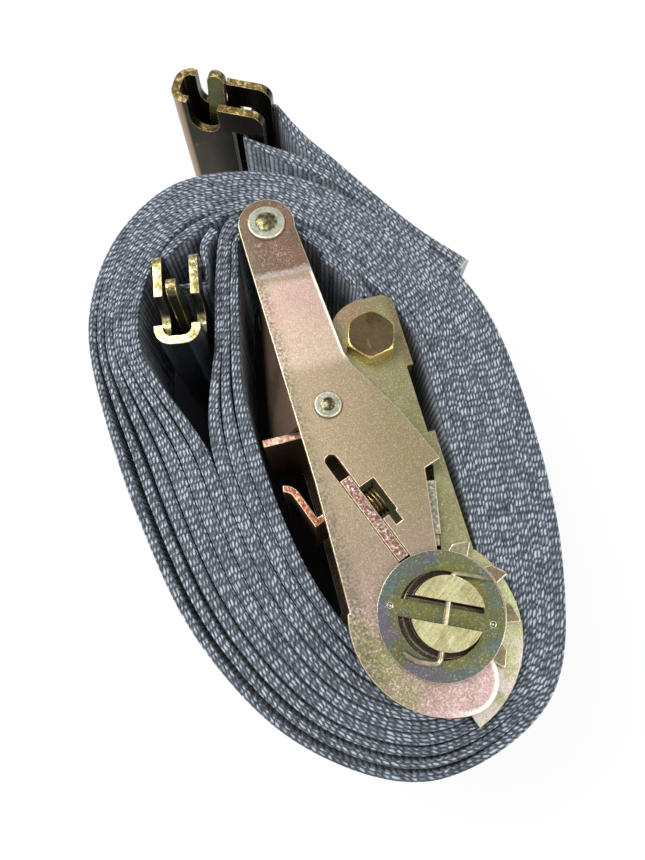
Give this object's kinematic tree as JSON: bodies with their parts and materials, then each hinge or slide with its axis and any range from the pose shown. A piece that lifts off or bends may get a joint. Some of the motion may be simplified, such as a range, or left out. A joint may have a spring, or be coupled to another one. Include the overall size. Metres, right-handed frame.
{
  "type": "ratchet tie down",
  "caption": "Webbing ratchet tie down with rail-track end fittings, its grey strap wound round the zinc-plated ratchet.",
  "frame": {"origin": "middle of the bounding box's footprint, on the surface that the ratchet lies on", "axes": "+Y along the ratchet from its spindle to its anchor bolt, +Z along the spindle, upwards"},
  "size_m": [0.117, 0.2146, 0.08],
  "materials": {
    "zinc_plate": "yellow passivated zinc, satin with a faint iridescence",
    "zinc_turned": "yellow passivated zinc, brighter",
    "cover_disc": "yellow passivated zinc with a green sheen",
    "bare_steel": "bare riveted steel",
    "spring_steel": "drawn wire",
    "webbing": "woven polyester"
  },
  "bodies": {
    "frame": {"frame": "zinc_plate", "anchor_bolt": "zinc_turned", "anchor_nut": "zinc_turned", "anchor_sleeve": "zinc_turned", "long_strap": "webbing", "short_strap": "webbing", "outer_fitting": "zinc_plate", "outer_latch_rivet": "bare_steel", "outer_latch_spring": "spring_steel", "lock_pawl_spring": "spring_steel"},
    "handle": {"handle_plate_top": "zinc_plate", "handle_plate_bottom": "zinc_plate", "grip_rod": "bare_steel", "grip_tube": "zinc_turned", "spacer_rod": "bare_steel", "spacer_tube": "zinc_turned", "handle_bridge": "zinc_plate", "drive_pawl_springs": "spring_steel"},
    "drive_pawl": {"drive_pawl": "zinc_plate"},
    "lock_pawl": {"lock_pawl": "zinc_plate"},
    "spindle": {"spindle_half_a": "zinc_turned", "spindle_half_b": "zinc_turned", "ratchet_wheel_top": "zinc_plate", "ratchet_wheel_bottom": "zinc_plate", "cover_disc_top": "cover_disc", "cover_disc_bottom": "cover_disc", "cotter_pin_top": "bare_steel", "cotter_pin_bottom": "bare_steel"},
    "outer_latch": {"outer_latch": "zinc_plate"},
    "inner_fitting": {"inner_fitting": "zinc_plate", "inner_latch_rivet": "bare_steel", "inner_latch_spring": "spring_steel"},
    "inner_latch": {"inner_latch": "zinc_plate"}
  },
  "joints": [
    {"name": "handle_hinge", "type": "hinge", "parent": "frame", "child": "handle", "pos_m": [0.01743, -0.07025, 0.038], "axis": [0, 0, 1], "range_deg": [0, 144], "deforming": ["long_strap", "short_strap"]},
    {"name": "drive_pawl_slide", "type": "slide", "parent": "handle", "child": "drive_pawl", "axis": [0.3584, -0.9336, 0], "range_m": [-0.005, 0.0033], "stiffness_N_per_m": 300, "deforming": ["drive_pawl_springs"]},
    {"name": "lock_pawl_slide", "type": "slide", "parent": "frame", "child": "lock_pawl", "axis": [-0.2079, -0.9781, 0], "range_m": [-0.004, 0.0033], "stiffness_N_per_m": 300, "deforming": ["lock_pawl_spring"]},
    {"name": "spindle_spin", "type": "hinge", "parent": "frame", "child": "spindle", "pos_m": [0.01743, -0.07025, 0.038], "axis": [0, 0, 1], "continuous": true},
    {"name": "outer_latch_hinge", "type": "hinge", "parent": "frame", "child": "outer_latch", "pos_m": [-0.00629, 0.09821, 0.032], "axis": [0.4587, 0.8886, 0], "range_deg": [0, 12], "stiffness_Nm_per_rad": 0.08, "deforming": ["outer_latch_spring"]},
    {"name": "inner_fitting_swing", "type": "hinge", "parent": "frame", "child": "inner_fitting", "pos_m": [0.01743, -0.07025, 0.038], "axis": [0, 0, 1], "range_deg": [0, 144]},
    {"name": "inner_latch_hinge", "type": "hinge", "parent": "inner_fitting", "child": "inner_latch", "pos_m": [-0.02995, 0.02719, 0.032], "axis": [-0.9848, 0.1736, 0], "range_deg": [0, 12], "stiffness_Nm_per_rad": 0.08, "deforming": ["inner_latch_spring"]}
  ],
  "couplings": [
    {"joint": "inner_fitting_swing", "follows": "handle_hinge", "ratio": 1}
  ]
}
